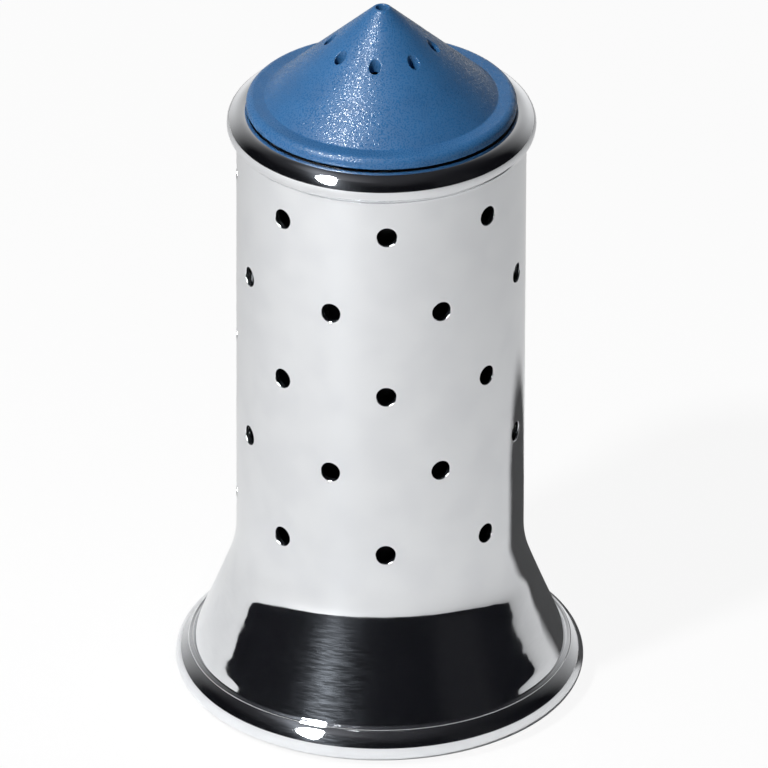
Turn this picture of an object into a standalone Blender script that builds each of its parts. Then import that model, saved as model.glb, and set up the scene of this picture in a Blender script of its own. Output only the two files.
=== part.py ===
# Salt shaker: a perforated steel sleeve round a dark salt container, under a conical shaker cap.
# Metres, +Z up. The origin is the centre of the foot ring's underside, on the table.

import math

import bmesh
import bpy
from mathutils import Matrix

MM = 0.001

# Fits
FIT = 0.3 * MM  # gap between pieces that seat on each other
SIDES = 48  # facets round a turned piece
HOLE_SIDES = 10
SCREW_SIDES = 24
MERGE = 0.001 * MM

# Steel sleeve, spun from one sheet: lip, tube, skirt and rolled edge
SHEET = 0.8 * MM
TUBE_R = 21.0 * MM
SLEEVE_HEIGHT = 92.6 * MM  # rolled edge to crown of the lip
LIP_R = 2.3 * MM  # radius of the lip's roll
LIP_OUT = 1.4 * MM  # how far the lip stands out of the tube
LIP_END = 140.0  # degrees of roll where the lip's sheet ends, 90 is the crown
SKIRT_HEIGHT = 20.8 * MM  # rolled edge to where the skirt leaves the tube
SKIRT_BLEND = 5.0 * MM
EDGE_R = 2.4 * MM  # radius of the bottom edge's roll
EDGE_OUT = 8.9 * MM  # how far the bottom edge stands out of the tube
EDGE_START = 100.0  # degrees of roll where the skirt runs into the edge
EDGE_END = -150.0

# Perforations, in staggered rows down the tube
PERFORATION_D = 2.9 * MM
PERFORATIONS_ROUND = 8
ROW_PITCH = 13.1 * MM
TOP_ROW_DROP = 10.0 * MM  # crown of the lip to the top row
ROW_LAND = 2.0 * MM  # least steel between a perforation and the skirt's blend

# Salt container, hung on the lip by its rim
CONTAINER_WALL = 1.3 * MM
CONTAINER_FLOOR = 1.6 * MM
RIM_OVERLAP = 0.4 * MM  # how far the rim reaches out over the lip
RIM_RISE = 0.5 * MM  # rim's top above the crown of the lip
FLOOR_FILLET = 3.0 * MM
SCREW_BOSS_R = 4.0 * MM
SCREW_RUN = 1.6 * MM  # blind hole beyond the screw's end
BOSS_ROOF = 0.5 * MM  # plastic left over the blind hole

# Shaker cap: cone, flange and spigot
FLANGE_INSET = 0.5 * MM  # flange's edge inside the crown of the lip
FLANGE_THICK = 1.7 * MM
FLANGE_ROUND = 1.1 * MM
FLANGE_UNDER_ROUND = 0.35 * MM
FLANGE_LEDGE = 2.7 * MM  # flat of the flange outside the cone
CONE_SLOPE = 42.6  # degrees from level
CAP_WALL = 1.6 * MM
TIP_LAND = 0.35 * MM  # rim of plastic round the tip's hole
POUR_HOLE_D = 1.7 * MM
POUR_HOLES = 8
POUR_RING_R = 7.5 * MM
SPIGOT_LENGTH = 9.0 * MM
SPIGOT_CHAMFER = 0.6 * MM
CAP_TURN = -9.7  # degrees that the cap is turned in the photographed position

# Seal ring on the spigot
SEAL_SECTION = 1.6 * MM
SEAL_DROP = 4.5 * MM  # flange's underside to the middle of the ring
SEAL_SIDES = 8

# Base plate, a dish drawn up into the skirt
PLATE_RECESS = 0.5 * MM  # plate's underside above the bottom edge
PLATE_THICK = 1.8 * MM
PLATE_WALL = 1.6 * MM
PLATE_SEAT = 1.5 * MM  # height of the band that bears on the skirt
PLATE_CHAMFER = 0.5 * MM
PLATE_BOSS_WALL = 1.7 * MM
PLATE_BOSS_ROOF = 2.0 * MM

# Foot ring, pressed into a groove of the base plate
FOOT_STEP = 0.4 * MM  # foot ring stands this far below the steel
FOOT_WIDTH = 2.4 * MM
FOOT_GRIP = 0.5 * MM  # part of the ring that is in the groove
FOOT_INSET = 2.0 * MM  # groove's distance from the plate's edge
FOOT_CHAMFER = 0.3 * MM

# Screw and washer that draw the container and the base plate together
SCREW_R = 1.6 * MM
SCREW_LENGTH = 9.0 * MM
SCREW_TIP = 0.6 * MM
SCREW_HEAD_R = 3.2 * MM
SCREW_HEAD_HEIGHT = 2.0 * MM
SCREW_HEAD_ROUND = 0.7 * MM
DRIVE_R = 1.4 * MM
DRIVE_DEPTH = 1.1 * MM
SCREW_HEAD_SINK = 0.3 * MM  # head's underside above the plate's underside
WASHER_R = 4.4 * MM
WASHER_THICK = 0.6 * MM

# Levels, from the table up
EDGE_CENTRE_R = TUBE_R + EDGE_OUT - EDGE_R
EDGE_CENTRE_Z = FOOT_STEP + EDGE_R
SKIRT_TOP_Z = FOOT_STEP + SKIRT_HEIGHT
CROWN_Z = FOOT_STEP + SLEEVE_HEIGHT
LIP_CENTRE_R = TUBE_R + LIP_OUT - LIP_R
LIP_CENTRE_Z = CROWN_Z - LIP_R
LIP_MOUTH_R = LIP_CENTRE_R + LIP_R * math.cos(math.radians(LIP_END))

CONTAINER_R = LIP_MOUTH_R - FIT
CONTAINER_BORE_R = CONTAINER_R - CONTAINER_WALL
RIM_R = LIP_MOUTH_R + RIM_OVERLAP
RIM_Z = CROWN_Z + RIM_RISE

FLANGE_R = LIP_CENTRE_R - FLANGE_INSET
FLANGE_Z = CROWN_Z + FIT
CONE_R = FLANGE_R - FLANGE_LEDGE
SPIGOT_R = CONTAINER_BORE_R - FIT
SEAL_R = CONTAINER_BORE_R - FIT - SEAL_SECTION / 2
SEAL_Z = FLANGE_Z - SEAL_DROP
GROOVE_R = SEAL_R - SEAL_SECTION / 2 - FIT
GROOVE_HALF = SEAL_SECTION / 2 + FIT

PLATE_R = EDGE_CENTRE_R + EDGE_R * math.cos(math.radians(EDGE_END)) - FIT
PLATE_Z = FOOT_STEP + PLATE_RECESS
HEAD_Z = PLATE_Z + SCREW_HEAD_SINK
BEARING_Z = HEAD_Z + SCREW_HEAD_HEIGHT
WASHER_Z = BEARING_Z + FIT
SINK_R = WASHER_R + FIT
SINK_Z = WASHER_Z + WASHER_THICK + FIT
PLATE_BOSS_Z = SINK_Z + PLATE_BOSS_ROOF
SCREW_HOLE_R = SCREW_R + FIT
SCREW_BOSS_Z = PLATE_BOSS_Z + FIT
SCREW_END_Z = BEARING_Z + SCREW_LENGTH
SCREW_HOLE_Z = SCREW_END_Z + SCREW_RUN
INSIDE_Z = SCREW_HOLE_Z + BOSS_ROOF
FLOOR_Z = INSIDE_Z - CONTAINER_FLOOR


def arc(centre, radius, start, end, steps):
    turn = [math.radians(start + (end - start) * i / steps) for i in range(steps + 1)]
    return [(centre[0] + radius * math.cos(a), centre[1] + radius * math.sin(a)) for a in turn]


def moved_inwards(path, distance):
    # Mitred offset to the right of the path, which is the inner face of a path that runs down
    result = []
    for before, here, after in zip([None] + path, path, path[1:] + [None]):
        normals = []
        for a, b in ((before, here), (here, after)):
            if a and b:
                length = math.dist(a, b)
                normals.append(((b[1] - a[1]) / length, (a[0] - b[0]) / length))
        first, last = normals[0], normals[-1]
        share = distance / (1 + first[0] * last[0] + first[1] * last[1])
        result.append((here[0] + (first[0] + last[0]) * share, here[1] + (first[1] + last[1]) * share))
    return result


def finish(name, color, roughness, metallic):
    material = bpy.data.materials.new(name)
    material.use_nodes = True
    shader = material.node_tree.nodes["Principled BSDF"]
    shader.inputs["Base Color"].default_value = (*color, 1.0)
    shader.inputs["Roughness"].default_value = roughness
    shader.inputs["Metallic"].default_value = metallic
    return material


def made(name, bm, material):
    bmesh.ops.remove_doubles(bm, verts=bm.verts, dist=MERGE)
    bmesh.ops.recalc_face_normals(bm, faces=bm.faces)
    mesh = bpy.data.meshes.new(name)
    bm.to_mesh(mesh)
    bm.free()
    mesh.shade_smooth()
    mesh.set_sharp_from_angle(angle=math.radians(35))
    if material:
        mesh.materials.append(material)
    piece = bpy.data.objects.new(name, mesh)
    bpy.context.scene.collection.objects.link(piece)
    return piece


def turned(name, outline, material, sides=SIDES):
    # One closed outline, or a chain between two points on the axis, turned round +Z
    bm = bmesh.new()
    points = [bm.verts.new((r, 0, z)) for r, z in outline]
    edges = [
        bm.edges.new((a, b)) for a, b in zip(points, points[1:] + points[:1]) if a.co.x > MERGE or b.co.x > MERGE
    ]
    bmesh.ops.spin(
        bm, geom=points + edges, axis=(0, 0, 1), cent=(0, 0, 0), angle=math.tau, steps=sides, use_merge=True
    )
    return made(name, bm, material)


def drilled(piece, radius, sides, depth, places):
    # Cuts one round hole at each place, a matrix whose Z axis is the hole's axis
    bm = bmesh.new()
    for place in places:
        bmesh.ops.create_cone(
            bm, cap_ends=True, segments=sides, radius1=radius, radius2=radius, depth=depth, matrix=place
        )
    cutter = made(piece.name + "_drill", bm, None)
    cutter.hide_render = True
    cutter.display_type = "WIRE"
    cut = piece.modifiers.new("holes", "BOOLEAN")
    cut.operation = "DIFFERENCE"
    cut.solver = "EXACT"
    cut.object = cutter
    return cutter


def skirt_line():
    # Start and end of the straight skirt, before its blend into the tube
    end = arc((EDGE_CENTRE_R, EDGE_CENTRE_Z), EDGE_R, EDGE_START, EDGE_START, 1)[0]
    return (TUBE_R, SKIRT_TOP_Z), end


def skirt_slope():
    start, end = skirt_line()
    return math.atan2(end[0] - start[0], start[1] - end[1])


def blend_length():
    return SKIRT_BLEND * math.tan(skirt_slope() / 2)


def sleeve_path():
    # Outer face of the sheet, from inside the lip to inside the bottom edge
    lip_foot = -math.degrees(math.acos((TUBE_R - LIP_CENTRE_R) / LIP_R))
    lip = arc((LIP_CENTRE_R, LIP_CENTRE_Z), LIP_R, LIP_END, lip_foot, 10)
    blend_centre = (TUBE_R + SKIRT_BLEND, SKIRT_TOP_Z + blend_length())
    blend = arc(blend_centre, SKIRT_BLEND, 180, 180 + math.degrees(skirt_slope()), 3)
    edge = arc((EDGE_CENTRE_R, EDGE_CENTRE_Z), EDGE_R, EDGE_START, EDGE_END, 10)
    return lip + blend + edge


def perforation_places():
    top = CROWN_Z - TOP_ROW_DROP
    lowest = SKIRT_TOP_Z + blend_length() + ROW_LAND + PERFORATION_D / 2
    rows = int((top - lowest) / ROW_PITCH) + 1
    for row in range(rows):
        for i in range(PERFORATIONS_ROUND):
            turn = (i + row % 2 / 2) * math.tau / PERFORATIONS_ROUND
            level = Matrix.Translation((0, 0, top - row * ROW_PITCH))
            out = Matrix.Translation((0, -(TUBE_R - SHEET / 2), 0)) @ Matrix.Rotation(math.pi / 2, 4, "X")
            yield level @ Matrix.Rotation(turn, 4, "Z") @ out


def steel_sleeve(steel):
    outer = sleeve_path()
    inner = moved_inwards(outer, SHEET)
    sleeve = turned("steel_sleeve", outer + inner[::-1], steel)
    drilled(sleeve, PERFORATION_D / 2, HOLE_SIDES, 4 * SHEET, perforation_places())


def salt_container(dark):
    # The rim's underside follows the lip's roll, one fit away
    roll = LIP_R + FIT
    start = math.degrees(math.acos((RIM_R - LIP_CENTRE_R) / roll))
    end = math.degrees(math.acos((CONTAINER_R - LIP_CENTRE_R) / roll))
    rim = arc((LIP_CENTRE_R, LIP_CENTRE_Z), roll, start, end, 2)
    outer_fillet = FLOOR_FILLET + CONTAINER_WALL
    outer_floor = arc((CONTAINER_R - outer_fillet, FLOOR_Z + outer_fillet), outer_fillet, 0, -90, 3)
    inner_floor = arc((CONTAINER_BORE_R - FLOOR_FILLET, INSIDE_Z + FLOOR_FILLET), FLOOR_FILLET, -90, 0, 3)
    boss = [(SCREW_BOSS_R, FLOOR_Z), (SCREW_BOSS_R, SCREW_BOSS_Z), (SCREW_HOLE_R, SCREW_BOSS_Z)]
    hole = [(SCREW_HOLE_R, SCREW_HOLE_Z), (0, SCREW_HOLE_Z)]
    outside = [(CONTAINER_BORE_R, RIM_Z), (RIM_R, RIM_Z)] + rim + outer_floor + boss + hole
    turned("salt_container", outside + [(0, INSIDE_Z)] + inner_floor, dark)


def shaker_cap(blue):
    rise = math.tan(math.radians(CONE_SLOPE))
    hole_r = POUR_HOLE_D / 2
    tip_r = hole_r + TIP_LAND
    flange_top = FLANGE_Z + FLANGE_THICK
    tip_z = flange_top + (CONE_R - tip_r) * rise
    wall_drop = CAP_WALL / math.cos(math.radians(CONE_SLOPE))
    bore_r = GROOVE_R - CAP_WALL
    round_r = min(FLANGE_ROUND, FLANGE_THICK - FLANGE_UNDER_ROUND)
    seat_r = RIM_R + FIT
    seat_z = RIM_Z + FIT
    spigot_z = FLANGE_Z - SPIGOT_LENGTH

    def inside(r):
        return tip_z - (r - tip_r) * rise - wall_drop

    cone = [(hole_r, tip_z), (tip_r, tip_z), (CONE_R, flange_top)]
    flange = arc((FLANGE_R - round_r, flange_top - round_r), round_r, 90, 0, 4)
    under = arc((FLANGE_R - FLANGE_UNDER_ROUND, FLANGE_Z + FLANGE_UNDER_ROUND), FLANGE_UNDER_ROUND, 0, -90, 2)
    seat = [(seat_r, FLANGE_Z), (seat_r, seat_z), (SPIGOT_R, seat_z)]
    groove = [
        (SPIGOT_R, SEAL_Z + GROOVE_HALF),
        (GROOVE_R, SEAL_Z + GROOVE_HALF),
        (GROOVE_R, SEAL_Z - GROOVE_HALF),
        (SPIGOT_R, SEAL_Z - GROOVE_HALF),
    ]
    spigot = [(SPIGOT_R, spigot_z + SPIGOT_CHAMFER), (SPIGOT_R - SPIGOT_CHAMFER, spigot_z), (bore_r, spigot_z)]
    hollow = [(bore_r, inside(bore_r)), (hole_r, inside(hole_r))]
    cap = turned("shaker_cap", cone + flange + under + seat + groove + spigot + hollow, blue)
    places = [
        Matrix.Rotation(i * math.tau / POUR_HOLES, 4, "Z")
        @ Matrix.Translation((0, -POUR_RING_R, inside(POUR_RING_R) + wall_drop / 2))
        for i in range(POUR_HOLES)
    ]
    drill = drilled(cap, hole_r, HOLE_SIDES, 4 * wall_drop, places)
    drill.parent = cap
    cap.rotation_euler.z = math.radians(CAP_TURN)


def cap_seal_ring(rubber):
    section = arc((SEAL_R, SEAL_Z), SEAL_SECTION / 2, 0, -360, SEAL_SIDES)[:-1]
    turned("cap_seal_ring", section, rubber)


def base_plate(dark):
    slope = skirt_slope()
    lean = math.tan(slope)
    # The skirt's inner face, less one fit, is the plate's seat
    inset = (SHEET + FIT) / math.cos(slope)
    seat_z = SKIRT_TOP_Z - (PLATE_R + inset - TUBE_R) / lean
    top_z = seat_z + PLATE_SEAT
    top_r = PLATE_R - PLATE_SEAT * lean
    web_z = PLATE_Z + PLATE_THICK
    well_r = top_r - PLATE_WALL
    boss_r = SINK_R + PLATE_BOSS_WALL
    groove_out = PLATE_R - FOOT_INSET
    groove_in = groove_out - FOOT_WIDTH - 2 * FIT
    groove_z = PLATE_Z + FOOT_GRIP + FIT
    rim = [
        (top_r, top_z),
        (PLATE_R, seat_z),
        (PLATE_R, PLATE_Z + PLATE_CHAMFER),
        (PLATE_R - PLATE_CHAMFER, PLATE_Z),
    ]
    groove = [(groove_out, PLATE_Z), (groove_out, groove_z), (groove_in, groove_z), (groove_in, PLATE_Z)]
    sink = [(SINK_R, PLATE_Z), (SINK_R, SINK_Z), (SCREW_HOLE_R, SINK_Z), (SCREW_HOLE_R, PLATE_BOSS_Z)]
    well = [(boss_r, PLATE_BOSS_Z), (boss_r, web_z), (well_r, web_z), (well_r, top_z)]
    turned("base_plate", rim + groove + sink + well, dark)


def foot_ring(rubber):
    outer = PLATE_R - FOOT_INSET - FIT
    inner = outer - FOOT_WIDTH
    top = PLATE_Z + FOOT_GRIP
    section = [
        (outer, top),
        (outer, FOOT_CHAMFER),
        (outer - FOOT_CHAMFER, 0),
        (inner + FOOT_CHAMFER, 0),
        (inner, FOOT_CHAMFER),
        (inner, top),
    ]
    turned("foot_ring", section, rubber)


def base_screw(zinc):
    tip = [(0, SCREW_END_Z), (SCREW_R - SCREW_TIP, SCREW_END_Z), (SCREW_R, SCREW_END_Z - SCREW_TIP)]
    corner = (SCREW_HEAD_R - SCREW_HEAD_ROUND, HEAD_Z + SCREW_HEAD_ROUND)
    bearing = [(SCREW_R, BEARING_Z), (SCREW_HEAD_R, BEARING_Z)]
    head = arc(corner, SCREW_HEAD_ROUND, 0, -90, 3) + [(0, HEAD_Z)]
    screw = turned("base_screw", tip + bearing + head, zinc, SCREW_SIDES)
    # Six-sided drive, cut into the head from below
    drilled(screw, DRIVE_R, 6, 2 * DRIVE_DEPTH, [Matrix.Translation((0, 0, HEAD_Z))])


def screw_washer(zinc):
    top = WASHER_Z + WASHER_THICK
    section = [(WASHER_R, top), (WASHER_R, WASHER_Z), (SCREW_HOLE_R, WASHER_Z), (SCREW_HOLE_R, top)]
    turned("screw_washer", section, zinc, SCREW_SIDES)


def main():
    for old in list(bpy.data.objects):
        bpy.data.objects.remove(old)
    steel = finish("polished_steel", (0.82, 0.82, 0.81), 0.06, 1.0)
    blue = finish("blue_plastic", (0.031, 0.137, 0.325), 0.42, 0.0)
    dark = finish("black_plastic", (0.012, 0.012, 0.013), 0.22, 0.0)
    rubber = finish("dark_rubber", (0.02, 0.02, 0.021), 0.7, 0.0)
    zinc = finish("zinc_plate", (0.58, 0.59, 0.6), 0.35, 1.0)
    steel_sleeve(steel)
    salt_container(dark)
    shaker_cap(blue)
    cap_seal_ring(rubber)
    base_plate(dark)
    foot_ring(rubber)
    base_screw(zinc)
    screw_washer(zinc)


main()
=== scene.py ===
import math

import bmesh
import bpy
from mathutils import Matrix, Vector


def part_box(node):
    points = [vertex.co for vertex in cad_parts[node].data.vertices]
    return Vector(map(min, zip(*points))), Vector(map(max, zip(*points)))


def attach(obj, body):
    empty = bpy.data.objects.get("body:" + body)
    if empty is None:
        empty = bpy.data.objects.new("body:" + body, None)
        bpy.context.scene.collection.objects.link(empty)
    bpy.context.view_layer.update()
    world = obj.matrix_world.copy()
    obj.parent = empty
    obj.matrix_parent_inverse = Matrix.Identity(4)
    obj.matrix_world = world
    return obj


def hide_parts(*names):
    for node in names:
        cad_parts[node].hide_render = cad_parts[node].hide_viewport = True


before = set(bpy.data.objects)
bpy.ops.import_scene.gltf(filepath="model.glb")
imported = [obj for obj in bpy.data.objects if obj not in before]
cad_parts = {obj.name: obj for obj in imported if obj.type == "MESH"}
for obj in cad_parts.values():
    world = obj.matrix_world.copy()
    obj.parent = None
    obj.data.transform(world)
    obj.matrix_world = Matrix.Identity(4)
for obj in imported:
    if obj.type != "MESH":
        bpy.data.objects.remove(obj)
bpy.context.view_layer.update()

mm = 0.001
ringSteps = 160  # facets round a turned piece
arcSteps = 10  # along a rounded corner of an outline
smallArcSteps = 6
rimSteps = 5  # over the rim of a hole
weld = 0.0005 * mm  # points closer than this are one
print("frame:", ", ".join(sorted(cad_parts)))


# Shader sums and nodes

class Value:
    # a node's output; each sum adds a Math node
    def __init__(self, shading, socket):
        self.shading = shading
        self.socket = socket

    def calc(self, operation, *terms):
        return self.shading.node("ShaderNodeMath", {"operation": operation}, dict(enumerate(terms)))

    def __add__(self, other):
        return self.calc("ADD", self, other)

    def __sub__(self, other):
        return self.calc("SUBTRACT", self, other)

    def __rsub__(self, other):
        return self.calc("SUBTRACT", other, self)

    def __mul__(self, other):
        return self.calc("MULTIPLY", self, other)

    def __truediv__(self, other):
        return self.calc("DIVIDE", self, other)

    def __pow__(self, other):
        return self.calc("POWER", self, other)

    __radd__ = __add__
    __rmul__ = __mul__


class Shading:
    # the nodes of one material, or of the world
    def __init__(self, owner):
        owner.use_nodes = True
        self.owner = owner
        self.tree = owner.node_tree
        self.tree.nodes.clear()

    def node(self, kind, settings=None, sockets=None, output=0):
        node = self.tree.nodes.new(kind)
        for name, setting in (settings or {}).items():
            setattr(node, name, setting)
        for name, value in (sockets or {}).items():
            if isinstance(value, Value):
                self.tree.links.new(value.socket, node.inputs[name])
            else:
                node.inputs[name].default_value = value
        return Value(self, node.outputs[output]) if node.outputs else node

    def place(self):
        return self.node("ShaderNodeTexCoord", output="Object")

    def ray(self, kind):
        return self.node("ShaderNodeLightPath", output="Is %s Ray" % kind)

    def parts(self, vector):
        return [self.node("ShaderNodeSeparateXYZ", None, {0: vector}, axis) for axis in range(3)]

    def vector(self, x, y, z):
        return self.node("ShaderNodeCombineXYZ", None, {0: x, 1: y, 2: z})

    def noise(self, vector, scale, detail=2.0, rough=0.5):
        sockets = {"Vector": vector, "Scale": scale, "Detail": detail, "Roughness": rough}
        return self.node("ShaderNodeTexNoise", None, sockets)

    def ramp(self, value, low, high, kind="LINEAR"):
        sockets = {"Value": value, "From Min": low, "From Max": high}
        return self.node("ShaderNodeMapRange", {"interpolation_type": kind}, sockets)

    def smooth(self, value, low, high):
        return self.ramp(value, low, high, "SMOOTHSTEP")

    def blend(self, factor, first, second):
        sockets = {"Factor": factor, 6: first, 7: second}
        return self.node("ShaderNodeMix", {"data_type": "RGBA"}, sockets, 2)

    def mix(self, factor, first, second):
        return self.node("ShaderNodeMix", None, {"Factor": factor, "A": first, "B": second})

    def bump(self, height, distance):
        return self.node("ShaderNodeBump", None, {"Height": height, "Distance": distance})

    def coating(self, **sockets):
        named = {name.replace("_", " "): value for name, value in sockets.items()}
        return self.node("ShaderNodeBsdfPrincipled", None, named)

    def done(self, shader):
        self.node("ShaderNodeOutputMaterial", None, {"Surface": shader})
        return self.owner

    def surface(self, **sockets):
        return self.done(self.coating(**sockets))

    def layered(self, share, under, over):
        return self.done(self.node("ShaderNodeMixShader", None, {0: share, 1: under, 2: over}))


def newFinish(name):
    return Shading(bpy.data.materials.new(name))


# Finishes

steelLook = {
    "color": (0.82, 0.833, 0.849, 1),
    "dullColor": (0.78, 0.793, 0.813, 1),
    "roughness": 0.03,
    "dullRoughness": 0.03,  # added in the duller patches
    "patchesPerMetre": 180,
    "patchSpan": (0.35, 0.7),  # of the noise, from bright to dull
    "wavesPerMetre": 100,
    "waveDepth": 0.11 * mm,
    "skirtTop": (14.4 * mm, 24 * mm),  # the sheet's slight waves keep to the skirt
    "skirtFoot": (4.5 * mm, 7.0 * mm),  # and fade out above its edge
    "linesPerMetre": 3600,
    "strokesPerMetre": 420,
    "lineSpan": (0.35, 0.7),
    "lineFloor": 0.3,  # least scatter, between two polishing lines
    "tubeShare": 0.017,  # of light scattered up and down by the polishing lines
    "skirtShare": 0.036,
    "lineColor": (0.76, 0.83, 0.93, 1),
    "lineRoughness": 0.4,
    "lineStretch": 0.92,  # anisotropy of the scatter
    "lineTurn": 0.27,  # its rotation, in full turns
    "creaseDrop": 4.05 * mm,  # below the lip's crown, where a thin band of painted shade darkens the crease under the lip
    "creaseHalf": (0.08 * mm, 0.22 * mm),
    # colour and share of the painted shade in the crease under the lip
    "paintedShadeColor": (0.2, 0.2, 0.21, 1),
    "paintedShadeShare": 0.75,
}


def polishedSteel():
    look = steelLook
    steel = newFinish("polished_steel_fine")
    place = steel.place()
    x, y, z = steel.parts(place)
    radius = (x * x + y * y) ** 0.5
    along = z - radius  # runs down the outline of the sheet
    onSkirt = 1 - steel.smooth(z, *look["skirtTop"])
    waves = steel.noise(place, look["wavesPerMetre"], detail=2.5) * onSkirt
    patches = steel.smooth(steel.noise(place, look["patchesPerMetre"]), *look["patchSpan"])
    polished = steel.blend(patches, look["color"], look["dullColor"])
    # painted shade: the colour darkens in a thin band at the crease under the lip
    offCrease = z - (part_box("steel_sleeve")[1].z - look["creaseDrop"])
    near, far = [half ** 2 for half in look["creaseHalf"]]
    paintedCreaseShade = (1 - steel.smooth(offCrease * offCrease, near, far)) * look["paintedShadeShare"]
    mirror = steel.coating(
        Base_Color=steel.blend(paintedCreaseShade, polished, look["paintedShadeColor"]),
        Metallic=1.0,
        Roughness=look["roughness"] + patches * look["dullRoughness"],
        Normal=steel.bump(waves * steel.smooth(z, *look["skirtFoot"]), look["waveDepth"]),
    )
    strokes = look["strokesPerMetre"]
    brushed = steel.vector(x * strokes, y * strokes, along * look["linesPerMetre"])
    lines = steel.smooth(steel.noise(brushed, 1.0), *look["lineSpan"])
    scatter = look["lineFloor"] + lines * (1 - look["lineFloor"])
    share = steel.mix(onSkirt, look["tubeShare"], scatter * look["skirtShare"])
    haze = steel.coating(
        Base_Color=look["lineColor"],
        Metallic=1.0,
        Roughness=look["lineRoughness"],
        Anisotropic=look["lineStretch"],
        Anisotropic_Rotation=look["lineTurn"],
    )
    return steel.layered(share, mirror, haze)


blueLook = {
    "color": (0.031, 0.137, 0.325, 1),
    "deepColor": (0.027, 0.122, 0.295, 1),
    "cloudsPerMetre": 220,
    "cloudSpan": (0.3, 0.7),
    "roughness": 0.5,
    "cloudRoughness": 0.1,  # added where it is deeper
    "specksPerMetre": 4400,
    "speckSpan": (0.5, 0.62),
    "speckShare": 0.95,  # how glossy a speck is
    "speckRoughness": 0.11,
    "speckCloudRoughness": 0.04,
    "grainsPerMetre": 3500,
    "grainDepth": 0.085 * mm,
}


def bluePlastic():
    look = blueLook
    blue = newFinish("blue_plastic_grained")
    place = blue.place()
    cloud = blue.noise(place, look["cloudsPerMetre"], detail=3.0)
    color = blue.blend(blue.smooth(cloud, *look["cloudSpan"]), look["color"], look["deepColor"])
    matt = blue.coating(
        Base_Color=color,
        Roughness=look["roughness"] + cloud * look["cloudRoughness"],
        IOR=1.45,
    )
    glossy = blue.coating(
        Base_Color=color,
        Roughness=look["speckRoughness"] + cloud * look["speckCloudRoughness"],
        IOR=1.5,
        Normal=blue.bump(blue.noise(place, look["grainsPerMetre"], detail=0.5), look["grainDepth"]),
    )
    specks = blue.smooth(blue.noise(place, look["specksPerMetre"], detail=0.0), *look["speckSpan"])
    return blue.layered(specks * look["speckShare"], matt, glossy)


blackLook = {
    "color": (0.012, 0.012, 0.013, 1),
    "paleColor": (0.018, 0.018, 0.019, 1),
    "cloudsPerMetre": 260,
    "roughness": 0.14,
    "cloudRoughness": 0.08,
    "ripplesPerMetre": 900,
    "rippleDepth": 0.002 * mm,
}


def blackPlastic():
    look = blackLook
    black = newFinish("black_plastic_gloss")
    place = black.place()
    cloud = black.noise(place, look["cloudsPerMetre"], detail=3.0)
    return black.surface(
        Base_Color=black.blend(cloud, look["color"], look["paleColor"]),
        Roughness=look["roughness"] + cloud * look["cloudRoughness"],
        IOR=1.5,
        Normal=black.bump(black.noise(place, look["ripplesPerMetre"]), look["rippleDepth"]),
    )


rubberLook = {
    "color": (0.02, 0.02, 0.021, 1),
    "dustColor": (0.045, 0.045, 0.046, 1),
    "dustPerMetre": 700,
    "dustSpan": (0.5, 0.8),
    "roughness": 0.62,
    "dustRoughness": 0.2,
    "grainsPerMetre": 5200,
    "grainDepth": 0.01 * mm,
}


def darkRubber():
    look = rubberLook
    rubber = newFinish("dark_rubber_matt")
    place = rubber.place()
    powder = rubber.noise(place, look["dustPerMetre"], detail=4.0, rough=0.65)
    dust = rubber.smooth(powder, *look["dustSpan"])
    return rubber.surface(
        Base_Color=rubber.blend(dust, look["color"], look["dustColor"]),
        Roughness=look["roughness"] + dust * look["dustRoughness"],
        IOR=1.5,
        Normal=rubber.bump(rubber.noise(place, look["grainsPerMetre"]), look["grainDepth"]),
    )


zincLook = {
    "color": (0.6, 0.61, 0.62, 1),
    "stainColor": (0.47, 0.47, 0.46, 1),
    "stainsPerMetre": 500,
    "stainSpan": (0.45, 0.75),
    "roughness": 0.26,
    "stainRoughness": 0.15,
    "grainsPerMetre": 3000,
    "grainDepth": 0.006 * mm,
}


def zincPlate():
    look = zincLook
    zinc = newFinish("zinc_plate_bright")
    place = zinc.place()
    stain = zinc.smooth(zinc.noise(place, look["stainsPerMetre"], detail=3.0), *look["stainSpan"])
    grain = zinc.noise(place, look["grainsPerMetre"], detail=3.0)
    return zinc.surface(
        Base_Color=zinc.blend(stain, look["color"], look["stainColor"]),
        Metallic=1.0,
        Roughness=look["roughness"] + stain * look["stainRoughness"],
        Normal=zinc.bump(grain, look["grainDepth"]),
    )


# Modelling helpers

class Outline:
    # a pen that draws a profile from point to point: x is the radius, z the height
    def __init__(self, r, z):
        self.bm = bmesh.new()
        self.tip = self.first = self.bm.verts.new((r, 0, z))

    def line(self, *points):
        for r, z in points:
            self.tip = bmesh.ops.extrude_vert_indiv(self.bm, verts=[self.tip])["verts"][0]
            self.tip.co = (r, 0, z)
        return self

    def bend(self, centre, degrees, steps):
        # an arc, counted from outwards to upwards
        swing = bmesh.ops.spin(
            self.bm, geom=[self.tip], cent=(centre[0], 0, centre[1]), axis=(0, -1, 0),
            angle=math.radians(degrees), steps=steps, use_merge=degrees == 360,
        )
        self.tip = next(item for item in swing["geom_last"] if isinstance(item, bmesh.types.BMVert))
        return self

    def close(self):
        self.bm.edges.new((self.tip, self.first))
        return self

    def turn(self, steps=ringSteps):
        bmesh.ops.spin(
            self.bm, geom=self.bm.verts[:] + self.bm.edges[:], cent=(0, 0, 0), axis=(0, 0, 1),
            angle=math.tau, steps=steps, use_merge=True,
        )
        return tidy(self.bm)


def tidy(bm):
    bmesh.ops.remove_doubles(bm, verts=bm.verts, dist=weld)
    bmesh.ops.recalc_face_normals(bm, faces=bm.faces)
    return bm


def roundEdges(bm, radius, segments=3, sharpFrom=25):
    edges = [e for e in bm.edges if e.is_manifold and e.calc_face_angle() > math.radians(sharpFrom)]
    bmesh.ops.bevel(
        bm, geom=edges, offset=radius, offset_type="OFFSET", affect="EDGES", segments=segments,
        profile=0.5, material=-1, clamp_overlap=True,
    )
    return bm


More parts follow.
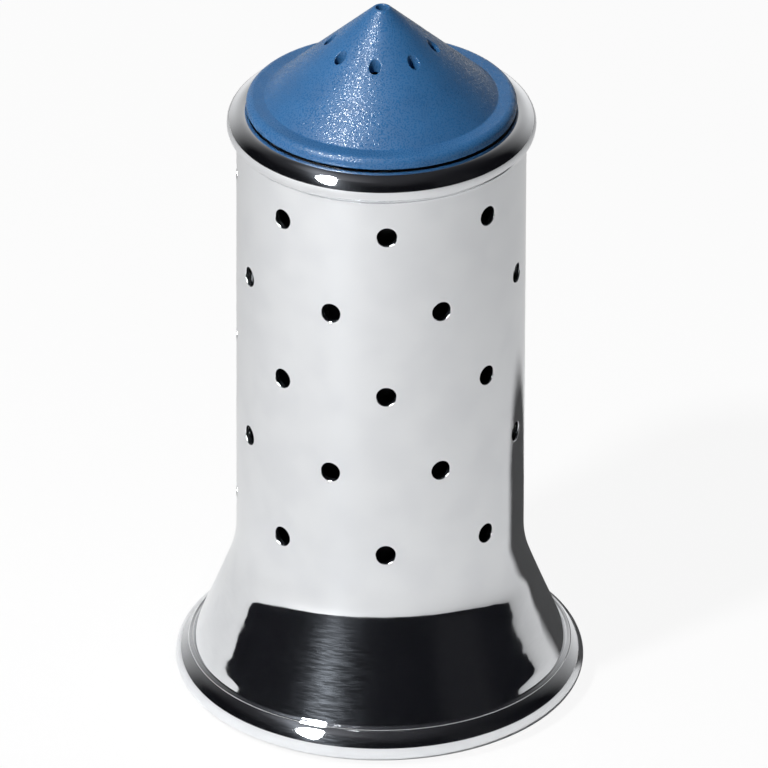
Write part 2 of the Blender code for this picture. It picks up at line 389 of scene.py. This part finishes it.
def stamp(bm, shape, place):
    # adds a copy of a shape, each point moved by place
    loose = bpy.data.meshes.new("loose")
    shape.to_mesh(loose)
    start = len(bm.verts)
    bm.from_mesh(loose)
    bpy.data.meshes.remove(loose)
    bm.verts.ensure_lookup_table()
    for vert in bm.verts[start:]:
        vert.co = place(vert.co)


def perforatedPanel(holeR, rimR, thick, width, height, across, up):
    # flat sheet with one round hole: its face is at z = 0, both rims of the hole are rounded,
    # and the rings outside them are drawn out to the panel's border
    landR = holeR + 2 * rimR
    rings = [landR + spare * rimR for spare in range(4)]
    pen = Outline(rings[-1], 0).line(*[(r, 0) for r in rings[-2::-1]], (holeR + rimR, 0))
    pen.bend((holeR + rimR, -rimR), 90, rimSteps).line((holeR, rimR - thick))
    pen.bend((holeR + rimR, rimR - thick), 90, rimSteps).line(*[(r, -thick) for r in rings])
    steps = 2 * (across + up)
    bm = pen.turn(steps)
    right = [(width / 2, height * (step / up - 0.5)) for step in range(up)]
    top = [(width * (0.5 - step / across), height / 2) for step in range(across)]
    border = right + top + [(-x, -y) for x, y in right + top]
    for vert in bm.verts:
        x, y, z = vert.co
        reach = math.hypot(x, y) - landR
        if reach > weld:
            share = reach / (rings[-1] - landR)
            end = border[(round(math.atan2(y, x) / math.tau * steps) + up // 2) % steps]
            land = Vector((x, y, 0)).normalized() * landR
            vert.co = land.lerp(Vector((*end, 0)), share) + Vector((0, 0, z))
    return tidy(bm)


def plainPanel(thick, width, height, across, up):
    bm = bmesh.new()
    size = Matrix.Diagonal((width / 2, height / 2, 1, 1))
    for level in (0, -thick):
        bmesh.ops.create_grid(
            bm, x_segments=across, y_segments=up, size=1, matrix=Matrix.Translation((0, 0, level)) @ size
        )
    return bm


def addPiece(name, bm, finish, node, body):
    mesh = bpy.data.meshes.new(name)
    bm.to_mesh(mesh)
    bm.free()
    mesh.shade_smooth()
    mesh.materials.append(finish)
    piece = bpy.data.objects.new(name, mesh)
    bpy.context.scene.collection.objects.link(piece)
    piece.modifiers.new("even shading", "WEIGHTED_NORMAL")
    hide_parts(node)
    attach(piece, body)
    print("piece:", name, len(mesh.polygons), "faces")


def pointAt(centre, radius, degrees):
    turn = math.radians(degrees)
    return centre[0] + radius * math.cos(turn), centre[1] + radius * math.sin(turn)


def angleOf(centre, point):
    return math.degrees(math.atan2(point[1] - centre[1], point[0] - centre[0]))


# Steel sleeve: lip, perforated tube, skirt and rolled edge, spun from one sheet

sleeve = {
    "sheet": 0.8 * mm,
    "tubeR": 21.0 * mm,
    "lipR": 2.3 * mm,
    "lipOut": 1.4 * mm,
    "lipEnd": 140,  # degrees of roll
    "lipCrease": 0.5 * mm,  # radius in the corner under the lip
    "rollSteps": 30,  # facets round the lip's and the bottom edge's roll
    "skirtHeight": 20.8 * mm,
    "skirtBlend": 20.0 * mm,
    "skirtSlope": 21.0,  # degrees from upright
    "skirtSpread": 2.2,  # degrees more at the wall's lower end
    "skirtLength": 11.0 * mm,  # of the slightly hollow wall
    "skirtFlareR": 45 * mm,  # where it turns down again to the edge
    "skirtFlare": 1.6,  # degrees
    "wallSteps": 12,
    "edgeR": 2.2 * mm,
    "edgeEnd": -155,
    "edgeCrownR": 3.0 * mm,  # the edge's roll is wider on its upper side
    "edgeCrownAt": 12,  # degrees round the roll where it widens
    "crownSteps": 16,
    "edgeCrease": 0.4 * mm,  # inside the sheet
    "ridgeAt": 72,  # where a fine ridge closes the roll
    "ridgeR": 0.2 * mm,
    "ridgeRise": 0.16 * mm,
    "grooveR": 0.35 * mm,  # between the ridge and the skirt
    "holeR": 1.45 * mm,
    "holeRim": 0.14 * mm,
    "holesRound": 8,
    "rows": 5,
    "rowPitch": 13.1 * mm,
    "topRowDrop": 10.0 * mm,
    "bandHeight": 10.0 * mm,  # of the sheet worked round one row of holes
    "bandSteps": 10,
}


def creaseCentre(roll, rollR, wall, normal, along, crease):
    # centre of the small arc that fills the corner between a straight wall and a roll
    offset = (Vector(wall) - Vector(roll)).dot(normal) + crease
    reach = math.sqrt((rollR + crease) ** 2 - offset ** 2)
    return tuple(Vector(roll) + Vector(normal) * offset + Vector(along) * reach)


def bentSheet(arcs, inside, outside, innerArcs=None):
    # up the inner face, round the sheet's cut edge and back down the outer face;
    # an arc's side is 1 on a roll and -1 in a hollow of the outer face
    sheet = sleeve["sheet"]
    pen = Outline(*inside)
    for centre, radius, side, start, end, steps in (innerArcs or arcs)[::-1]:
        pen.line(pointAt(centre, radius - side * sheet, end))
        pen.bend(centre, start - end, steps)
    centre, radius, side, start, end, steps = arcs[0]
    pen.bend(pointAt(centre, radius - sheet / 2, start), math.copysign(180, end - start), smallArcSteps)
    for centre, radius, side, start, end, steps in arcs:
        pen.line(pointAt(centre, radius, start))
        pen.bend(centre, end - start, steps)
    return pen.line(outside).turn()


def lipCentre(crownZ):
    return sleeve["tubeR"] + sleeve["lipOut"] - sleeve["lipR"], crownZ - sleeve["lipR"]


def lipArcs(crownZ):
    size = sleeve
    lip = lipCentre(crownZ)
    corner = creaseCentre(lip, size["lipR"], (size["tubeR"], lip[1]), (1, 0), (0, -1), size["lipCrease"])
    foot = angleOf(lip, corner)
    return [
        (lip, size["lipR"], 1, size["lipEnd"], foot, size["rollSteps"]),
        (corner, size["lipCrease"], -1, foot + 180, 180, smallArcSteps),
    ]


def wallAxes(tilt):
    # out of a wall that leans by tilt, and up along it
    return pointAt((0, 0), 1, tilt), pointAt((0, 0), 1, tilt + 90)


def skirtArcs(edgeOuterR, bottomZ):
    # the outer face has the flare, the groove and the ridge, the inner one a plain crease
    size = sleeve
    upper = size["skirtSlope"]
    lower = upper + size["skirtSpread"]
    lowest = lower - size["skirtFlare"]
    blendR, flareR = size["skirtBlend"], size["skirtFlareR"]
    hollowR = size["skirtLength"] / math.radians(size["skirtSpread"])
    lift = blendR * math.tan(math.radians(upper / 2))
    turn = size["tubeR"] + blendR, bottomZ + size["skirtHeight"] + lift
    hollow = pointAt(turn, hollowR - blendR, upper)
    blend = (turn, blendR, -1, 180 + upper, 180, size["wallSteps"])
    wall = (hollow, hollowR, -1, 180 + lower, 180 + upper, size["wallSteps"])
    wallEnd = pointAt(hollow, hollowR, 180 + lower)
    flare = pointAt(wallEnd, flareR, 180 + lower)
    flareEnd = pointAt(flare, flareR, lowest)

    edgeR, crownR, widens = size["edgeR"], size["edgeCrownR"], size["edgeCrownAt"]
    edge = edgeOuterR - edgeR, bottomZ + edgeR
    crown = pointAt(edge, crownR - edgeR, 180 + widens)
    roll = (edge, edgeR, 1, size["edgeEnd"], widens, size["rollSteps"])
    crease = size["edgeCrease"]
    corner = creaseCentre(crown, crownR, wallEnd, *wallAxes(lower), crease)
    creaseAt = angleOf(crown, corner)
    inner = [
        roll,
        (crown, crownR, 1, widens, creaseAt, size["crownSteps"]),
        (corner, crease, -1, creaseAt + 180, 180 + lower, smallArcSteps),
        wall,
        blend,
    ]

    ridgeR, grooveR = size["ridgeR"], size["grooveR"]
    reach = crownR - ridgeR + size["ridgeRise"]
    ridge = pointAt(crown, reach, size["ridgeAt"])
    share = (crownR ** 2 + reach ** 2 - ridgeR ** 2) / (2 * crownR * reach)
    meets = size["ridgeAt"] - math.degrees(math.acos(share))
    ridgeStart = angleOf(ridge, pointAt(crown, crownR, meets))
    groove = creaseCentre(ridge, ridgeR, flareEnd, *wallAxes(lowest), grooveR)
    ridgeEnd = angleOf(ridge, groove)
    outer = [
        roll,
        (crown, crownR, 1, widens, meets, size["crownSteps"]),
        (ridge, ridgeR, 1, ridgeStart, ridgeEnd, arcSteps),
        (groove, grooveR, -1, ridgeEnd + 180, 180 + lowest, arcSteps),
        (flare, flareR, 1, lowest, lower, smallArcSteps),
        wall,
        blend,
    ]
    return outer, inner


def perforatedTube(bm, levels):
    size = sleeve
    slots = 2 * size["holesRound"]
    grid = (math.tau * size["tubeR"] / slots, size["bandHeight"], ringSteps // slots, size["bandSteps"])
    holed = perforatedPanel(size["holeR"], size["holeRim"], size["sheet"], *grid)
    plain = plainPanel(size["sheet"], *grid)
    for row, level in enumerate(levels):
        for slot in range(slots):
            def onTube(co):
                turn = math.tau * slot / slots + co.x / size["tubeR"]
                r = size["tubeR"] + co.z
                return r * math.sin(turn), -r * math.cos(turn), level + co.y
            stamp(bm, plain if (row + slot) % 2 else holed, onTube)
    for upper, lower in zip(levels, levels[1:]):
        ends = upper - size["bandHeight"] / 2, lower + size["bandHeight"] / 2
        for r in (size["tubeR"], size["tubeR"] - size["sheet"]):
            stamp(bm, Outline(r, ends[0]).line((r, ends[1])).turn(), lambda co: co)


def steelSleeve(finish):
    low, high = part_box("steel_sleeve")
    size = sleeve
    outerR, innerR = size["tubeR"], size["tubeR"] - size["sheet"]
    levels = [high.z - size["topRowDrop"] - row * size["rowPitch"] for row in range(size["rows"])]
    top, bottom = levels[0] + size["bandHeight"] / 2, levels[-1] - size["bandHeight"] / 2
    bm = bentSheet(lipArcs(high.z), (innerR, top), (outerR, top))
    outerArcs, innerArcs = skirtArcs(high.x, low.z)
    skirt = bentSheet(outerArcs, (innerR, bottom), (outerR, bottom), innerArcs)
    stamp(bm, skirt, lambda co: co)
    perforatedTube(bm, levels)
    addPiece("sleeve_sheet", tidy(bm), finish, "steel_sleeve", "body")


# Shaker cap: cone with its pour holes, flange, spigot and seal groove

cap = {
    "flangeR": 19.6 * mm,
    "flangeThick": 1.85 * mm,
    "flangeRound": 1.1 * mm,
    "underRound": 0.35 * mm,
    "coneR": 16.9 * mm,  # at the flange
    "coneSlope": 42.6,  # degrees from level
    "coneCrease": 0.4 * mm,
    "wall": 1.6 * mm,
    "tipR": 1.2 * mm,
    "tipRound": 0.16 * mm,
    "holeR": 0.85 * mm,
    "holeRim": 0.13 * mm,
    "holes": 8,
    "holeRingR": 7.5 * mm,
    "holeBand": 4.8 * mm,  # of the cone worked round the ring of holes
    "bandSteps": 10,
    "spigotR": 16.44 * mm,
    "grooveR": 14.54 * mm,
    "grooveHalf": 1.1 * mm,
    "sealDrop": 4.35 * mm,  # flange's underside to the middle of the groove
    "seatR": 19.04 * mm,  # recess in the underside, for the container's rim
    "seatRise": 0.65 * mm,
    "chamfer": 0.6 * mm,
    "edge": 0.15 * mm,  # rounding of moulded edges
    "turn": -9.7,  # degrees, as it stands in the photograph
}


def shakerCap(finish):
    low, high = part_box("shaker_cap")
    size = cap
    rise = math.tan(math.radians(size["coneSlope"]))
    flangeTop = high.z - (size["coneR"] - size["tipR"]) * rise
    flangeZ = flangeTop - size["flangeThick"]
    wallDrop = size["wall"] / math.cos(math.radians(size["coneSlope"]))
    boreR = size["grooveR"] - size["wall"]
    sealZ = flangeZ - size["sealDrop"]
    innerBorder = size["holeRingR"] - size["holeBand"] / 2
    outerBorder = size["holeRingR"] + size["holeBand"] / 2

    def coneZ(r):
        return flangeTop + (size["coneR"] - r) * rise

    def under(r):
        return r, coneZ(r) - wallDrop

    tip = Outline(*under(innerBorder)).line(under(size["holeR"]), (size["holeR"], high.z))
    tip.line((size["tipR"], high.z), (innerBorder, coneZ(innerBorder)))
    bm = roundEdges(tip.turn(), size["tipRound"])

    corner = size["coneCrease"] * math.tan(math.radians(size["coneSlope"] / 2))
    lean = math.radians(size["coneSlope"])
    topRound, lowRound = size["flangeRound"], size["underRound"]
    skirt = Outline(outerBorder, coneZ(outerBorder))
    skirt.line((size["coneR"] - corner * math.cos(lean), flangeTop + corner * math.sin(lean)))
    skirt.bend((size["coneR"] + corner, flangeTop + size["coneCrease"]), size["coneSlope"], smallArcSteps)
    skirt.line((size["flangeR"] - topRound, flangeTop))
    skirt.bend((size["flangeR"] - topRound, flangeTop - topRound), -90, arcSteps)
    skirt.line((size["flangeR"], flangeZ + lowRound))
    skirt.bend((size["flangeR"] - lowRound, flangeZ + lowRound), -90, smallArcSteps)
    skirt.line(
        (size["seatR"], flangeZ),
        (size["seatR"], flangeZ + size["seatRise"]),
        (size["spigotR"], flangeZ + size["seatRise"]),
        (size["spigotR"], sealZ + size["grooveHalf"]),
        (size["grooveR"], sealZ + size["grooveHalf"]),
        (size["grooveR"], sealZ - size["grooveHalf"]),
        (size["spigotR"], sealZ - size["grooveHalf"]),
        (size["spigotR"], low.z + size["chamfer"]),
        (size["spigotR"] - size["chamfer"], low.z),
        (boreR, low.z),
        under(boreR),
        under(outerBorder),
    )
    stamp(bm, roundEdges(skirt.turn(), size["edge"]), lambda co: co)

    width = math.tau * size["holeRingR"] / size["holes"]
    grid = (width, size["holeBand"], ringSteps // size["holes"], size["bandSteps"])
    panel = perforatedPanel(size["holeR"], size["holeRim"], wallDrop, *grid)
    for hole in range(size["holes"]):
        def onCone(co):
            turn = math.tau * hole / size["holes"] + co.x / size["holeRingR"]
            r = size["holeRingR"] + co.y
            return r * math.sin(turn), -r * math.cos(turn), coneZ(r) + co.z
        stamp(bm, panel, onCone)
    turned = Matrix.Rotation(math.radians(size["turn"]), 3, "Z")
    bmesh.ops.rotate(bm, verts=bm.verts, cent=(0, 0, 0), matrix=turned)
    addPiece("cap_moulding", tidy(bm), finish, "shaker_cap", "cap")


# Salt container, hung on the lip by its rim

container = {
    "wall": 1.3 * mm,
    "floor": 1.6 * mm,
    "outerR": 18.04 * mm,
    "rimR": 18.74 * mm,
    "fit": 0.3 * mm,  # between the rim and the lip it hangs on
    "fillet": 3.0 * mm,
    "bossR": 4.0 * mm,
    "holeR": 1.9 * mm,
    "holeZ": 13.8 * mm,  # end of the screw's hole
    "insideZ": 14.3 * mm,
    "edge": 0.15 * mm,
}


def saltContainer(finish):
    low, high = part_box("salt_container")
    size = container
    boreR = size["outerR"] - size["wall"]
    floorZ = size["insideZ"] - size["floor"]
    lip, roll = lipCentre(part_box("steel_sleeve")[1].z), sleeve["lipR"] + size["fit"]
    start = math.degrees(math.acos((size["rimR"] - lip[0]) / roll))
    end = math.degrees(math.acos((size["outerR"] - lip[0]) / roll))
    outer = size["fillet"] + size["wall"]
    pen = Outline(boreR, high.z).line((size["rimR"], high.z), pointAt(lip, roll, start))
    pen.bend(lip, end - start, smallArcSteps)
    pen.line((size["outerR"], floorZ + outer))
    pen.bend((size["outerR"] - outer, floorZ + outer), -90, arcSteps)
    pen.line(
        (size["bossR"], floorZ),
        (size["bossR"], low.z),
        (size["holeR"], low.z),
        (size["holeR"], size["holeZ"]),
        (0, size["holeZ"]),
    )
    shell = roundEdges(pen.turn(), size["edge"])
    inner = Outline(0, size["insideZ"]).line((boreR - size["fillet"], size["insideZ"]))
    inner.bend((boreR - size["fillet"], size["insideZ"] + size["fillet"]), 90, arcSteps)
    stamp(shell, inner.line((boreR, high.z)).turn(), lambda co: co)
    addPiece("container_moulding", tidy(shell), finish, "salt_container", "body")


# Seal ring in the cap's groove

seal = {"section": 1.6 * mm, "steps": 24}


def capSealRing(finish):
    low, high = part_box("cap_seal_ring")
    middle = (low.z + high.z) / 2
    pen = Outline(high.x, middle).bend((high.x - seal["section"] / 2, middle), 360, seal["steps"])
    addPiece("seal_ring_round", pen.turn(), finish, "cap_seal_ring", "seal")


# Base plate, its foot ring and the screw and washer that hold it

plate = {
    "thick": 1.8 * mm,
    "wall": 1.6 * mm,
    "seat": 1.5 * mm,  # height of the cone that bears on the skirt
    "chamfer": 0.5 * mm,
    "grooveInset": 2.0 * mm,
    "grooveWidth": 3.0 * mm,
    "grooveDepth": 0.8 * mm,
    "sinkR": 4.7 * mm,  # recess for the screw's head and the washer
    "sinkDepth": 3.5 * mm,
    "holeR": 1.9 * mm,
    "bossR": 6.4 * mm,
    "bossHeight": 5.5 * mm,
    "edge": 0.18 * mm,
}


def basePlate(finish, slope):
    low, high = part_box("base_plate")
    size = plate
    outR, lowZ, webZ = high.x, low.z, low.z + size["thick"]
    topR = outR - size["seat"] * math.tan(math.radians(slope))
    wellR = topR - size["wall"]
    grooveOut = outR - size["grooveInset"]
    grooveIn = grooveOut - size["grooveWidth"]
    pen = Outline(topR, high.z).line(
        (outR, high.z - size["seat"]),
        (outR, lowZ + size["chamfer"]),
        (outR - size["chamfer"], lowZ),
        (grooveOut, lowZ),
        (grooveOut, lowZ + size["grooveDepth"]),
        (grooveIn, lowZ + size["grooveDepth"]),
        (grooveIn, lowZ),
        (size["sinkR"], lowZ),
        (size["sinkR"], lowZ + size["sinkDepth"]),
        (size["holeR"], lowZ + size["sinkDepth"]),
        (size["holeR"], lowZ + size["bossHeight"]),
        (size["bossR"], lowZ + size["bossHeight"]),
        (size["bossR"], webZ),
        (wellR, webZ),
        (wellR, high.z),
    )
    bm = roundEdges(pen.close().turn(), size["edge"])
    addPiece("base_plate_moulding", bm, finish, "base_plate", "body")


foot = {"width": 2.4 * mm, "chamfer": 0.3 * mm, "edge": 0.1 * mm}


def footRing(finish):
    low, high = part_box("foot_ring")
    size = foot
    outR, inR = high.x, high.x - size["width"]
    pen = Outline(outR, high.z).line(
        (outR, low.z + size["chamfer"]),
        (outR - size["chamfer"], low.z),
        (inR + size["chamfer"], low.z),
        (inR, low.z + size["chamfer"]),
        (inR, high.z),
    )
    bm = roundEdges(pen.close().turn(), size["edge"])
    addPiece("foot_ring_round", bm, finish, "foot_ring", "body")


screw = {
    "shankR": 1.6 * mm,
    "tip": 0.6 * mm,
    "headHeight": 2.0 * mm,
    "headRound": 0.7 * mm,
    "headSteps": 8,
    "mouthR": 1.82 * mm,  # flat ring round the drive's mouth
    "driveR": 1.4 * mm,  # to its corners
    "driveDepth": 1.1 * mm,
    "drillR": 0.98 * mm,  # of the drill's cone in the drive's floor
    "drillDepth": 0.25 * mm,
    "edge": 0.06 * mm,
    "steps": 96,
}


def baseScrew(finish):
    low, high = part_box("base_screw")
    size = screw
    headR, drive, floorZ = high.x, size["driveR"], low.z + size["driveDepth"]
    pen = Outline(0, high.z).line(
        (size["shankR"] - size["tip"], high.z),
        (size["shankR"], high.z - size["tip"]),
        (size["shankR"], low.z + size["headHeight"]),
        (headR, low.z + size["headHeight"]),
        (headR, low.z + size["headRound"]),
    )
    pen.bend((headR - size["headRound"], low.z + size["headRound"]), -90, size["headSteps"])
    pen.line((size["mouthR"], low.z), (drive, low.z), (drive, floorZ))
    pen.line((size["drillR"], floorZ), (0, floorZ + size["drillDepth"]))
    bm = pen.turn(size["steps"])
    for vert in bm.verts:
        # the drive's wall is drawn in to six flats
        if abs(math.hypot(vert.co.x, vert.co.y) - drive) < weld:
            turn = math.atan2(vert.co.y, vert.co.x) % (math.pi / 3) - math.pi / 6
            flat = math.cos(math.pi / 6) / math.cos(turn)
            vert.co.x, vert.co.y = vert.co.x * flat, vert.co.y * flat
    addPiece("base_screw_hex", roundEdges(bm, size["edge"], segments=2), finish, "base_screw", "body")


washer = {"holeR": 1.9 * mm, "edge": 0.1 * mm, "steps": 96}


def screwWasher(finish):
    low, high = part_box("screw_washer")
    holeR = washer["holeR"]
    pen = Outline(high.x, high.z).line((high.x, low.z), (holeR, low.z), (holeR, high.z))
    bm = roundEdges(pen.close().turn(washer["steps"]), washer["edge"])
    addPiece("screw_washer_flat", bm, finish, "screw_washer", "body")


# Camera, at the photograph's viewing angle

cameraView = {
    "lens": 925.0,  # mm
    "clipEnd": 20.0,
    "distance": 2.875,
    "elevation": 28.8,  # degrees, as the next two
    "azimuth": -2.3,
    "roll": 0.22,
    "aim": (0.5 * mm, 0, 47.4 * mm),
}


def wayOut(azimuth, elevation):
    # from the object to a place in the studio; azimuth 0 is the front
    around, up = math.radians(azimuth), math.radians(elevation)
    return Vector((math.sin(around) * math.cos(up), -math.cos(around) * math.cos(up), math.sin(up)))


def addCamera():
    view = cameraView
    data = bpy.data.cameras.new("camera")
    data.lens = view["lens"]
    data.clip_end = view["clipEnd"]
    camera = bpy.data.objects.new("camera", data)
    bpy.context.scene.collection.objects.link(camera)
    back = wayOut(view["azimuth"], view["elevation"])
    turn = back.to_track_quat("Z", "Y").to_matrix().to_4x4()
    place = Matrix.Translation(Vector(view["aim"]) + back * view["distance"])
    camera.matrix_world = place @ turn @ Matrix.Rotation(math.radians(view["roll"]), 4, "Z")
    bpy.context.scene.camera = camera


# Studio: white table, white backdrop behind, a dark room in front and two lamps on the left

backdrop = {
    "color": (1.0, 1.0, 1.0, 1),
    "way": (0.07, 0.9976),  # towards its brightest part
    "edge": 0.3,  # cosine of its half width
    "fall": 2.0,  # power of its fall from there to the edge
    "fade": (0.1, 0.85),  # sines of the heights between which it fades out
}


def backdropShare(shading, x, y):
    wayX, wayY = backdrop["way"]
    towards = (x * wayX + y * wayY) / (x * x + y * y) ** 0.5
    return shading.ramp(towards, backdrop["edge"], 1.0) ** backdrop["fall"]


room = {
    "ambient": (0.07, 0.07, 0.07, 1),
    "color": (0.0042, 0.0042, 0.0055, 1),
    "standColor": (0.0105, 0.0105, 0.012, 1),  # something dim stands on the right
    "standFrom": (0.52, 0.68),  # sines of its sides' azimuths
    "standTo": (0.9, 0.98),
    "ceilingColor": (0.036, 0.036, 0.04, 1),
    "ceilingDim": (0.012, 0.012, 0.014, 1),  # over the right side
    "ceilingSpan": (0.0, 0.6),  # from left to right between the two
    "ceilingFrom": (0.35, 1.05),  # sines of the heights where it begins and is full
    "glowColor": (0.13, 0.13, 0.14, 1),  # of lamplight on the ceiling over the left side
    "glowSpan": (-0.35, 0.05),
    "glowFrom": (0.8, 0.93),
}


def addWorld():
    world = bpy.data.worlds.new("studio")
    bpy.context.scene.world = world
    air = Shading(world)
    x, y, z = air.parts(air.node("ShaderNodeTexCoord", output="Generated"))
    sideways = x / (x * x + y * y) ** 0.5
    stand = air.smooth(sideways, *room["standFrom"]) * (1 - air.smooth(sideways, *room["standTo"]))
    walls = air.blend(stand, room["color"], room["standColor"])
    onRight = air.smooth(x, *room["ceilingSpan"])
    ceiling = air.blend(onRight, room["ceilingColor"], room["ceilingDim"])
    glow = air.smooth(z, *room["glowFrom"]) * (1 - air.smooth(x, *room["glowSpan"]))
    ceiling = air.blend(glow, ceiling, room["glowColor"])
    dark = air.blend(air.smooth(z, *room["ceilingFrom"]), walls, ceiling)
    behind = backdropShare(air, x, y) * (1 - air.smooth(z, *backdrop["fade"]))
    mirrored = air.blend(behind, dark, backdrop["color"])
    lit = air.blend(air.ray("Glossy"), room["ambient"], mirrored)
    color = air.blend(air.ray("Camera"), lit, (1, 1, 1, 1))
    light = air.node("ShaderNodeBackground", None, {"Color": color, "Strength": 1.0})
    air.node("ShaderNodeOutputWorld", None, {"Surface": light})


table = {
    "size": 12.0,
    "drop": 0.02 * mm,  # keeps it clear of the foot ring's underside
    "color": (0.9, 0.9, 0.9, 1),
    "glow": 0.92,  # share of plain white in what the camera sees of it
    "glowSpan": (0.16, 0.5),  # distances between which the rest turns white too
    "edgeR": 0.45,  # mirrored, it ends here, but for the sheet that runs up the backdrop
    "edgeSoft": 0.02,
}


def addFloor():
    bm = bmesh.new()
    lowered = Matrix.Translation((0, 0, -table["drop"]))
    bmesh.ops.create_grid(bm, x_segments=1, y_segments=1, size=table["size"] / 2, matrix=lowered)
    mesh = bpy.data.meshes.new("floor")
    bm.to_mesh(mesh)
    bm.free()
    floor = bpy.data.objects.new("floor", mesh)
    bpy.context.scene.collection.objects.link(floor)
    white = newFinish("white_table")
    seen, through, mirrored = [white.ray(kind) for kind in ("Camera", "Transmission", "Glossy")]
    x, y, z = white.parts(white.place())
    away = (x * x + y * y) ** 0.5
    edge, soft = table["edgeR"], table["edgeSoft"]
    beyond = white.smooth(away, edge - soft, edge + soft)
    around = white.blend(backdropShare(white, x, y), room["color"], backdrop["color"])
    color = white.blend(mirrored, (1, 1, 1, 1), around)
    plain = white.node("ShaderNodeEmission", None, {"Color": color, "Strength": 1.0})
    lit = white.node("ShaderNodeBsdfDiffuse", None, {"Color": table["color"]})
    glow = table["glow"] + white.smooth(away, *table["glowSpan"]) * (1 - table["glow"])
    share = (seen + through) * glow + mirrored * beyond
    mesh.materials.append(white.layered(share, lit, plain))


keyLamp = {
    "way": (-49, 51),  # azimuth and elevation of the lamp that casts the shadow
    "distance": 0.8,
    "size": (0.08, 0.08),
    "top": (0, 0, 1),
    "power": 6.6,
    "notSeenBy": "visible_glossy",
}
stripLamp = {
    "way": (-48, 43),  # of the strip mirrored in the lip, the skirt and the cone
    "distance": 0.7,
    "size": (0.15, 0.74),
    "top": (0.207, 0.5445, 0.564),  # the strip leans over the shaker
    "power": 12.0,
    "notSeenBy": "visible_diffuse",
}
lampAim = 50 * mm  # height that the lamps point at


def addLamp(name, light):
    data = bpy.data.lights.new(name, "AREA")
    data.shape = "ELLIPSE"
    data.size, data.size_y = light["size"]
    data.energy = light["power"]
    lamp = bpy.data.objects.new(name, data)
    bpy.context.scene.collection.objects.link(lamp)
    away = wayOut(*light["way"])
    side = Vector(light["top"]).cross(away).normalized()
    turn = Matrix((side, away.cross(side), away)).transposed().to_4x4()
    lamp.matrix_world = Matrix.Translation(away * light["distance"] + Vector((0, 0, lampAim))) @ turn
    lamp.visible_camera = False
    setattr(lamp, light["notSeenBy"], False)


addCamera()
addFloor()
addWorld()
addLamp("key", keyLamp)
addLamp("strip", stripLamp)
print("studio ready")
steelSleeve(polishedSteel())
shakerCap(bluePlastic())
black = blackPlastic()
saltContainer(black)
basePlate(black, sleeve["skirtSlope"] + sleeve["skirtSpread"])
rubber, zinc = darkRubber(), zincPlate()
capSealRing(rubber)
footRing(rubber)
baseScrew(zinc)
screwWasher(zinc)

bpy.context.scene.view_settings.view_transform = "Standard"
